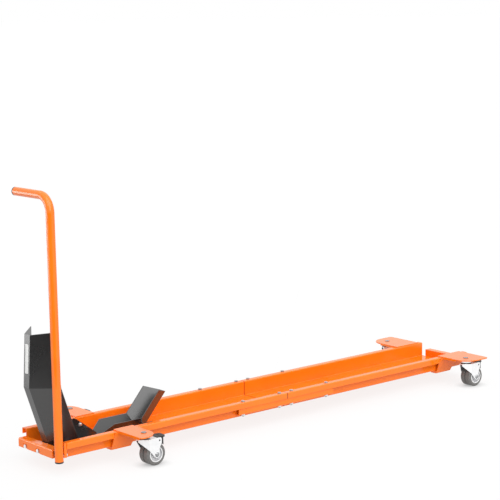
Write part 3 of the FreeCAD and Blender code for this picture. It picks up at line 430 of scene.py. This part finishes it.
def ring(center: Point, axis: Point, radius: float, width: float, height: float, turns: int = 72,
         steps: int = 12, squareness: float = 4.0) -> Surface:
    """A flat ring with rounded edges: a superellipse profile turned about an axis.

    Point = center + (radius + width / 2 * c) * spoke(u) + height / 2 * s * axis, where c and s are the
    rounded cosine and sine of the profile's angle v, and spoke(u) turns about the axis.

    Args:
        center: The middle of the ring.
        axis: A unit vector along the ring's axis.
        radius: The middle radius.
        width: The profile's size along the radius.
        height: The profile's size along the axis.
        turns: Steps round the axis.
        steps: Steps round the profile.
        squareness: The superellipse's power: 2 is an ellipse, more is squarer.

    Returns:
        Points and faces.
    """
    up = np.array(axis)
    first = np.roll(up, 1)
    second = np.cross(up, first)
    around = np.linspace(0.0, FULL_TURN, turns, endpoint=False)
    profile = np.linspace(0.0, FULL_TURN, steps, endpoint=False)
    across = radius + width / 2 * rounded(np.cos(profile), squareness)
    along = height / 2 * rounded(np.sin(profile), squareness)
    spoke = np.cos(around)[:, None] * first + np.sin(around)[:, None] * second
    grid = np.array(center) + spoke[:, None, :] * across[None, :, None] + up * along[None, :, None]
    return skin(grid, True)


def rounded(wave: np.ndarray, squareness: float) -> np.ndarray:
    """A cosine or sine turned into a superellipse's: its sign times its 2 / squareness power."""
    return np.sign(wave) * np.abs(wave) ** (2.0 / squareness)


def bead(start: Point, end: Point, out: Point, width: float, height: float, ripple: float = 0.0,
         pitch: float = 4 * MILLIMETRE, steps: int = 10) -> Surface:
    """A bead on a surface: an ellipse carried along a line, swelling from both ends.

    Point = start + t * (end - start) + s(t) * (width / 2 * cos(v) * across + height * sin(v) * out), where
    s(t) rises as the quarter power of a parabola and carries the ripples of a weld.  The two tips are
    left off, and a middle point closes each end.

    Args:
        start: Where the bead starts, on the surface.
        end: Where it ends.
        out: A unit vector away from the surface.
        width: The bead's width on the surface.
        height: Its height above the surface, and its depth below it.
        ripple: How much of the swell comes and goes with each ripple.
        pitch: The length of one ripple.
        steps: Steps round the ellipse.

    Returns:
        Points and faces.
    """
    low, high, away = np.array(start), np.array(end), np.array(out)
    length = float(np.linalg.norm(high - low))
    fewest, spacing, tip = 9, 1.2 * MILLIMETRE, 0.02
    t = np.linspace(tip, 1.0 - tip, max(fewest, int(length / spacing) if ripple else fewest))
    swell = (4.0 * t * (1.0 - t)) ** 0.25
    swell = swell * (1.0 + ripple * np.cos(FULL_TURN * t * length / pitch))
    across = np.cross((high - low) / length, away)
    angle = np.linspace(0.0, FULL_TURN, steps, endpoint=False)
    profile = width / 2 * np.cos(angle)[:, None] * across + height * np.sin(angle)[:, None] * away
    grid = low + t[:, None, None] * (high - low) + swell[:, None, None] * profile[None]
    return skin(grid, False)


def gathered(surfaces: list[Surface]) -> Surface:
    """Several closed surfaces as the points and faces of one piece.

    Args:
        surfaces: Points and faces of each.

    Returns:
        All the points, and the faces with their corners counted on.
    """
    offsets = np.cumsum([0] + [len(points) for points, _ in surfaces])
    faces = [[int(corner + offset) for corner in face]
             for offset, (_, shell) in zip(offsets, surfaces) for face in shell]
    return np.concatenate([points for points, _ in surfaces]), faces


def new_piece(name: str, surface: Surface, body: str) -> bpy.types.Object:
    """Put points and faces into a mesh that rides on a body.

    Args:
        name: The piece's name.
        surface: Points in metres, in the dolly's frame, and the corner numbers of each face.
        body: The body that it moves with.

    Returns:
        The new object.
    """
    points, faces = surface
    mesh = bpy.data.meshes.new(name)
    mesh.from_pydata(points.tolist(), [], faces)
    mesh.polygons.foreach_set("use_smooth", np.ones(len(faces), dtype=bool))
    mesh.validate()
    piece = bpy.data.objects.new(name, mesh)
    bpy.context.scene.collection.objects.link(piece)
    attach(piece, body)
    LOG.info("%s: %d faces on %s", name, len(faces), body)
    return piece


@dataclass
class Chassis:
    """Trough, crossbars, splices, outriggers and their fasteners."""

    shelf: FinishShelf
    troughs: tuple[str, ...] = ("front_trough", "rear_trough")
    members: tuple[str, ...] = ("front_cross_member", "rear_cross_member")
    outriggers: tuple[str, ...] = (
        "outrigger_front_left", "outrigger_front_right", "outrigger_rear_left", "outrigger_rear_right",
    )
    bars: tuple[str, ...] = (
        "splice_left", "splice_right", "front_crossbar", "rear_crossbar", "front_beam", "rear_beam",
        "handle_mount",
    )
    fasteners: tuple[str, ...] = ("crossbar_bolts", "handle_bolts", "floor_bolts", "frame_nuts")
    weld_width: float = 6 * MILLIMETRE
    weld_height: float = 3 * MILLIMETRE
    weld_ripple: float = 0.09
    weld_inset: float = 30 * MILLIMETRE
    weld_end: float = 9 * MILLIMETRE
    plate_inner: float = 118 * MILLIMETRE
    plate_thickness: float = 4 * MILLIMETRE
    strap_lead: float = 14 * MILLIMETRE

    def dress(self) -> None:
        """Coat the sheet metal and plate the fasteners."""
        groups = (
            (self.troughs, Finish.TROUGH),
            (self.members + self.outriggers + self.bars, Finish.ORANGE),
            (self.fasteners, Finish.ZINC),
            (("caster_kingpins",), Finish.GREY_ZINC),
            (("splice_bolts",), Finish.DULL_ZINC),
        )
        for nodes, finish in groups:
            for node in nodes:
                self.shelf.coat(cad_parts[node], finish)
        self.shelf.coat(self.member_welds(), Finish.ORANGE)
        self.shelf.coat(self.plate_welds(), Finish.ORANGE)

    def member_welds(self) -> bpy.types.Object:
        """Welds under the floor along the front and rear edges of both cross members.

        Returns:
            The four beads as one piece.
        """
        beads = []
        for node in self.members:
            low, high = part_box(node)
            reach = high.y - self.weld_inset
            for x, out in ((low.x, -SLANT), (high.x, SLANT)):
                beads.append(bead((x, -reach, high.z), (x, reach, high.z), (out, 0.0, -SLANT),
                                  self.weld_width, self.weld_height, self.weld_ripple))
        return new_piece("member_welds", gathered(beads), "frame")

    def plate_welds(self) -> bpy.types.Object:
        """Welds on the flanges along the inner edges of the four corner plates.

        Returns:
            The four beads as one piece.
        """
        beads = []
        for node in self.outriggers:
            low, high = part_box(node)
            side = 1.0 if high.y > -low.y else -1.0
            y = side * self.plate_inner
            z = high.z - self.plate_thickness
            start = low.x + self.strap_lead + self.weld_end
            beads.append(bead((start, y, z), (high.x - self.weld_end, y, z), (0.0, -side * SLANT, SLANT),
                              self.weld_width / 2, self.weld_height / 2, self.weld_ripple))
        return new_piece("plate_welds", gathered(beads), "frame")


@dataclass
class Handle:
    """The tall bent handle and its black ends."""

    shelf: FinishShelf

    def dress(self) -> None:
        """Coat the tube and colour its ends."""
        self.shelf.coat(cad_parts["handle_tube"], Finish.ORANGE)
        for node in ("handle_foot_cap", "handle_end_plug"):
            self.shelf.coat(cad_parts[node], Finish.CAP)


@dataclass
class Casters:
    """The four braked swivel casters, with rim rings, hub ribs, swivel seals and pedal ridges."""

    shelf: FinishShelf
    corners: tuple[str, ...] = ("front_left", "front_right", "rear_left", "rear_right")
    rim_radius: float = 25.9 * MILLIMETRE
    rim_width: float = 3.0 * MILLIMETRE
    rim_proud: float = 0.7 * MILLIMETRE
    hub_recess: float = 7 * MILLIMETRE
    rib_count: int = 12
    rib_inner: float = 12.5 * MILLIMETRE
    rib_outer: float = 23.5 * MILLIMETRE
    rib_width: float = 2.6 * MILLIMETRE
    rib_height: float = 2.2 * MILLIMETRE
    seal_radius: float = 20.2 * MILLIMETRE
    seal_width: float = 1.8 * MILLIMETRE
    seal_height: float = 4.2 * MILLIMETRE
    seal_gap: float = 0.3 * MILLIMETRE
    ridge_count: int = 3
    ridge_spacing: float = 6 * MILLIMETRE
    ridge_end: float = 9 * MILLIMETRE
    ridge_reach: float = 14 * MILLIMETRE
    ridge_width: float = 2.4 * MILLIMETRE
    ridge_height: float = 0.9 * MILLIMETRE

    def dress(self) -> None:
        """Give each caster's pieces their finishes and add its small pieces."""
        finishes = {
            "bearing_cup": Finish.PALE_ZINC,
            "fork": Finish.PALE_ZINC,
            "axle": Finish.GREY_ZINC,
            "hub": Finish.HUB,
            "tread": Finish.TREAD,
            "pedal": Finish.PEDAL,
        }
        for corner in self.corners:
            for part, finish in finishes.items():
                self.shelf.coat(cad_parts[f"{corner}_{part}"], finish)
            self.shelf.coat(self.rims(corner), Finish.RIM)
            self.shelf.coat(self.ribs(corner), Finish.HUB)
            self.shelf.coat(self.seal(corner), Finish.CAP)
            self.shelf.coat(self.ridges(corner), Finish.PEDAL)

    def rims(self, corner: str) -> bpy.types.Object:
        """A pale ring on each face of the hub's rim.

        Args:
            corner: The caster's name.

        Returns:
            The two rings as one piece.
        """
        low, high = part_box(f"{corner}_hub")
        middle = (low + high) / 2
        rings = [ring((middle.x, y, middle.z), (0.0, 1.0, 0.0), self.rim_radius, self.rim_width,
                      2 * self.rim_proud) for y in (low.y, high.y)]
        return new_piece(f"{corner}_rim_rings", gathered(rings), f"{corner}_wheel")

    def ribs(self, corner: str) -> bpy.types.Object:
        """Radial ribs on both recessed faces of the hub.

        Args:
            corner: The caster's name.

        Returns:
            The ribs as one piece.
        """
        low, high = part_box(f"{corner}_hub")
        middle = (low + high) / 2
        beads = []
        for y, out in ((low.y + self.hub_recess, -1.0), (high.y - self.hub_recess, 1.0)):
            for angle in np.arange(self.rib_count) * FULL_TURN / self.rib_count:
                spoke = np.array([math.cos(angle), 0.0, math.sin(angle)])
                center = np.array([middle.x, y, middle.z])
                beads.append(bead(center + spoke * self.rib_inner, center + spoke * self.rib_outer,
                                  (0.0, out, 0.0), self.rib_width, self.rib_height))
        return new_piece(f"{corner}_hub_ribs", gathered(beads), f"{corner}_wheel")

    def seal(self, corner: str) -> bpy.types.Object:
        """A dark seal round the ball race, between the fork's crown and the bearing cup.

        Args:
            corner: The caster's name.

        Returns:
            The seal.
        """
        low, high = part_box(f"{corner}_bearing_cup")
        z = low.z - self.seal_gap - self.seal_height / 2
        center = ((low.x + high.x) / 2, (low.y + high.y) / 2, z)
        surface = ring(center, (0.0, 0.0, 1.0), self.seal_radius, self.seal_width, self.seal_height)
        return new_piece(f"{corner}_swivel_seal", surface, f"{corner}_swivel")

    def ridges(self, corner: str) -> bpy.types.Object:
        """Grip ridges across the top of the brake pedal.

        Args:
            corner: The caster's name.

        Returns:
            The ridges as one piece.
        """
        low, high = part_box(f"{corner}_pedal")
        middle = (low.y + high.y) / 2
        beads = []
        for index in range(self.ridge_count):
            x = high.x - self.ridge_end - index * self.ridge_spacing
            start, end = (x, middle - self.ridge_reach, high.z), (x, middle + self.ridge_reach, high.z)
            beads.append(bead(start, end, (0.0, 0.0, 1.0), self.ridge_width, self.ridge_height))
        return new_piece(f"{corner}_pedal_ridges", gathered(beads), f"{corner}_brake")


@dataclass
class Chock:
    """Front stop, cradle and rocker, with a bare label on the stop's strip."""

    shelf: FinishShelf
    label_length: float = 102.6 * MILLIMETRE
    label_width: float = 19 * MILLIMETRE
    label_corner: float = 4 * MILLIMETRE
    label_thickness: float = 0.8 * MILLIMETRE
    label_middle: float = 394 * MILLIMETRE
    label_steps: int = 72
    label_scales: tuple[float, ...] = (0.5, 1.0, 1.0, 0.97, 0.5)
    label_rises: tuple[float, ...] = (0.0, 0.0, 0.6, 1.0, 1.0)
    fold_height: float = 294 * MILLIMETRE
    top_setback: float = 12 * MILLIMETRE
    base_lip: float = 3 * MILLIMETRE
    strip_width: float = 35 * MILLIMETRE
    wing_depth: float = 81 * MILLIMETRE
    weld_width: float = 6 * MILLIMETRE
    weld_height: float = 3 * MILLIMETRE
    weld_ripple: float = 0.09
    black: tuple[str, ...] = (
        "front_stop", "stop_base", "front_cradle", "wheel_rocker", "pivot_bracket_left",
        "pivot_bracket_right",
    )
    bright: tuple[str, ...] = ("cradle_stud_left", "cradle_stud_right", "pivot_pin")

    def dress(self) -> None:
        """Coat the folded sheet, plate the studs and add the label."""
        for node in self.black:
            self.shelf.coat(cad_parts[node], Finish.BLACK)
        for node in self.bright:
            self.shelf.coat(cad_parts[node], Finish.ZINC)
        self.shelf.coat(self.label(), Finish.LABEL)
        self.shelf.coat(self.foot_welds(), Finish.BLACK)

    def label(self) -> bpy.types.Object:
        """A thin plate with rounded corners on the strip, raised off the sloping face.

        Point = center + scale(h) * (x(v) * across + y(v) * along) + height(h) * outward, where x and y are
        the corner's centre, with the sign of the angle v's cosine or sine, plus the corner's radius times
        that cosine or sine.

        Returns:
            The label.
        """
        low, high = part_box("front_stop")
        rise = high.z - self.fold_height
        slope = math.atan2(self.top_setback, rise)
        angle = (np.arange(self.label_steps) + 0.5) * FULL_TURN / self.label_steps
        corner = self.label_corner
        across = (self.label_width / 2 - corner) * np.sign(np.cos(angle)) + corner * np.cos(angle)
        along = (self.label_length / 2 - corner) * np.sign(np.sin(angle)) + corner * np.sin(angle)
        scale = np.array(self.label_scales)
        height = np.array(self.label_rises) * self.label_thickness
        setback = self.top_setback * (self.label_middle - self.fold_height) / rise
        center = np.array([low.x + setback, 0.0, self.label_middle])
        side = np.array([0.0, 1.0, 0.0])
        upward = np.array([math.sin(slope), 0.0, math.cos(slope)])
        outward = np.array([-math.cos(slope), 0.0, math.sin(slope)])
        edge = across[:, None] * side + along[:, None] * upward
        grid = center + scale[:, None, None] * edge[None] + height[:, None, None] * outward
        return new_piece("stop_label", skin(grid, False), "frame")

    def foot_welds(self) -> bpy.types.Object:
        """Welds along the foot of the stop: across its strip and back along both wings.

        Returns:
            The three beads as one piece.
        """
        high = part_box("front_stop")[1]
        base_low, base_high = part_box("stop_base")
        strip_x, z = base_low.x + self.base_lip, base_high.z
        half = self.strip_width / 2
        spread = high.y - half
        run = math.hypot(spread, self.wing_depth)
        weld = (self.weld_width, self.weld_height, self.weld_ripple)
        beads = [bead((strip_x, half, z), (strip_x, -half, z), (-SLANT, 0.0, SLANT), *weld)]
        for side in (-1.0, 1.0):
            out = (-spread / run * SLANT, side * self.wing_depth / run * SLANT, SLANT)
            end = (strip_x + self.wing_depth, side * high.y, z)
            beads.append(bead((strip_x, side * half, z), end, out, *weld))
        return new_piece("stop_welds", gathered(beads), "frame")


@dataclass
class Studio:
    """White sweep, soft light and the camera at the photograph's place."""

    focal_pixels: float = 1606.5
    image_pixels: float = 500.0
    sensor_width: float = 36.0
    yaw: float = math.radians(39.913)
    pitch: float = math.radians(9.079)
    roll: float = math.radians(-1.019)
    position: Point = (-3.89523, -4.60896, 1.61490)
    view_depth: float = 100.0
    floor_size: float = 200.0
    floor_tone: float = 0.12
    floor_glow: float = 0.845
    # Painted contact shadow on the floor: how far it reaches, how dark it gets and its samples.
    contact_reach: float = 40.0 * MILLIMETRE
    contact_shade_depth: float = 0.55
    contact_samples: int = 16
    floor_bounce: float = 0.58
    ambient: float = 0.5
    key_strength: float = 2.5
    key_from: Point = (-0.24, -0.70, 0.67)
    key_angle: float = 1.3
    top_strength: float = 1.0
    top_from: Point = (0.0, -0.02, 1.0)
    top_angle: float = 1.8
    box_place: Point = (-3.1, 2.35, 0.45)
    box_target: Point = (-1.0, 0.0, 0.3)
    box_size: float = 2.0
    box_power: float = 58.0
    flag_ends: tuple[Point, Point] = ((-2.7, -0.35, 0.0), (-1.2, -1.85, 0.0))
    flag_height: float = 0.85
    flag_tone: float = 0.02

    def build(self) -> None:
        """Build the floor, the light and the camera."""
        self.floor()
        self.flag()
        self.world()
        self.lamps()
        self.camera()

    def floor(self) -> None:
        """A wide pale floor that shows white where nothing shades it, with painted soft shadow at each
        contact: ambient occlusion darkens the glow that the camera and gloss see.
        """
        half = self.floor_size / 2
        floor = self.panel("studio_floor", [[-half, -half, 0.0], [half, -half, 0.0],
                                            [half, half, 0.0], [-half, half, 0.0]])
        material, tree = new_tree("studio_floor")
        # Painted shadow: ambient occlusion near the dolly darkens the floor's glow for the camera and for
        # gloss.
        open_air = tree.value("ShaderNodeAmbientOcclusion", {"samples": self.contact_samples},
                              {"Distance": self.contact_reach}, "AO")
        shown = (open_air * self.contact_shade_depth + (1.0 - self.contact_shade_depth)) * self.floor_glow
        strength = self.floor_bounce + (shown - self.floor_bounce) * self.seen(tree)
        glow = tree.value("ShaderNodeEmission", {}, {"Color": WHITE, "Strength": strength})
        surface = tree.value("ShaderNodeAddShader", {}, {0: self.matte(tree, self.floor_tone), 1: glow})
        tree.node("ShaderNodeOutputMaterial", {}, {"Surface": surface})
        floor.data.materials.append(material)

    def matte(self, tree: ShaderTree, tone: float) -> Socket:
        """A matte grey surface."""
        return tree.value("ShaderNodeBsdfDiffuse", {}, {"Color": (tone, tone, tone, 1.0)})

    def panel(self, name: str, corners: list[list[float]]) -> bpy.types.Object:
        """A flat panel of the studio, which isn't part of the dolly.

        Args:
            name: The panel's name.
            corners: Its four corners in order, in metres.

        Returns:
            The panel.
        """
        mesh = bpy.data.meshes.new(name)
        mesh.from_pydata(corners, [], [[0, 1, 2, 3]])
        panel = bpy.data.objects.new(name, mesh)
        bpy.context.scene.collection.objects.link(panel)
        return panel

    def flag(self) -> None:
        """A low dark card on the camera's side that only gloss shows, for the upright black faces."""
        foot = np.array(self.flag_ends)
        top = foot[::-1] + np.array([0.0, 0.0, self.flag_height])
        flag = self.panel("studio_flag", np.concatenate([foot, top]).tolist())
        material, tree = new_tree("studio_flag")
        tree.node("ShaderNodeOutputMaterial", {}, {"Surface": self.matte(tree, self.flag_tone)})
        flag.data.materials.append(material)
        flag.visible_camera = False
        flag.visible_diffuse = False
        flag.visible_shadow = False
        flag.visible_transmission = False

    def seen(self, tree: ShaderTree) -> Socket:
        """Tell the rays that see the surroundings from those that only light the dolly.

        Args:
            tree: The tree that asks.

        Returns:
            1 for rays from the camera, in gloss or through glass, and 0 for the rest.
        """
        path = tree.node("ShaderNodeLightPath")
        names = ("Is Camera Ray", "Is Glossy Ray", "Is Transmission Ray")
        return sum((Socket(tree, path.outputs[name]) for name in names), 0.0).clamped()

    def world(self) -> None:
        """Even surroundings that show full white to the camera and in gloss."""
        world = bpy.data.worlds.new("studio")
        bpy.context.scene.world = world
        world.use_nodes = True
        tree = ShaderTree(world.node_tree)
        strength = self.ambient + (1.0 - self.ambient) * self.seen(tree)
        light = tree.value("ShaderNodeBackground", {}, {"Color": WHITE, "Strength": strength})
        tree.node("ShaderNodeOutputWorld", {}, {"Surface": light})

    def lamp(self, data: bpy.types.Light, place: Point, target: Point = (0.0, 0.0, 0.0)) -> bpy.types.Object:
        """Hang a lamp so that it faces a point.

        Args:
            data: The lamp's settings.
            place: Where it hangs, in metres.
            target: The point that it faces.

        Returns:
            The lamp.
        """
        lamp = bpy.data.objects.new(data.name, data)
        back = np.array(place) - np.array(target)
        back = back / np.linalg.norm(back)
        side = np.cross((0.0, 0.0, 1.0), back)
        side = side / np.linalg.norm(side)
        up = np.cross(back, side)
        turn = np.stack([side, up, back], axis=1)
        lamp.matrix_world = Matrix.Translation(place) @ Matrix(turn.tolist()).to_4x4()
        bpy.context.scene.collection.objects.link(lamp)
        return lamp

    def lamps(self) -> None:
        """A broad key light, a soft top light and a low box in front that only gloss shows."""
        key = bpy.data.lights.new("key_light", "SUN")
        key.energy = self.key_strength
        key.angle = self.key_angle
        self.lamp(key, self.key_from)
        top = bpy.data.lights.new("top_light", "SUN")
        top.energy = self.top_strength
        top.angle = self.top_angle
        self.lamp(top, self.top_from)
        box = bpy.data.lights.new("front_box", "AREA")
        box.size = self.box_size
        box.energy = self.box_power
        self.lamp(box, self.box_place, self.box_target).visible_diffuse = False

    def camera(self) -> None:
        """The camera: back = (-sin yaw cos pitch, -cos yaw cos pitch, sin pitch), turned by its roll."""
        back = np.array([-math.sin(self.yaw) * math.cos(self.pitch),
                         -math.cos(self.yaw) * math.cos(self.pitch), math.sin(self.pitch)])
        level = np.array([math.cos(self.yaw), -math.sin(self.yaw), 0.0])
        upright = np.cross(back, level)
        right = math.cos(self.roll) * level + math.sin(self.roll) * upright
        up = math.cos(self.roll) * upright - math.sin(self.roll) * level
        data = bpy.data.cameras.new("camera")
        data.sensor_width = self.sensor_width
        data.lens = self.focal_pixels * self.sensor_width / self.image_pixels
        data.clip_end = self.view_depth
        camera = bpy.data.objects.new("camera", data)
        turn = np.stack([right, up, back], axis=1)
        camera.matrix_world = Matrix.Translation(self.position) @ Matrix(turn.tolist()).to_4x4()
        bpy.context.scene.collection.objects.link(camera)
        bpy.context.scene.camera = camera


def main() -> None:
    """Dress the dolly, build the studio and set the standard view transform."""
    logging.basicConfig(level=logging.INFO)
    shelf = FinishShelf()
    for assembly in (Chassis(shelf), Handle(shelf), Casters(shelf), Chock(shelf)):
        assembly.dress()
        LOG.info("%s dressed", type(assembly).__name__)
    Studio().build()
    bpy.context.scene.view_settings.view_transform = "Standard"


if __name__ == "__main__":
    main()
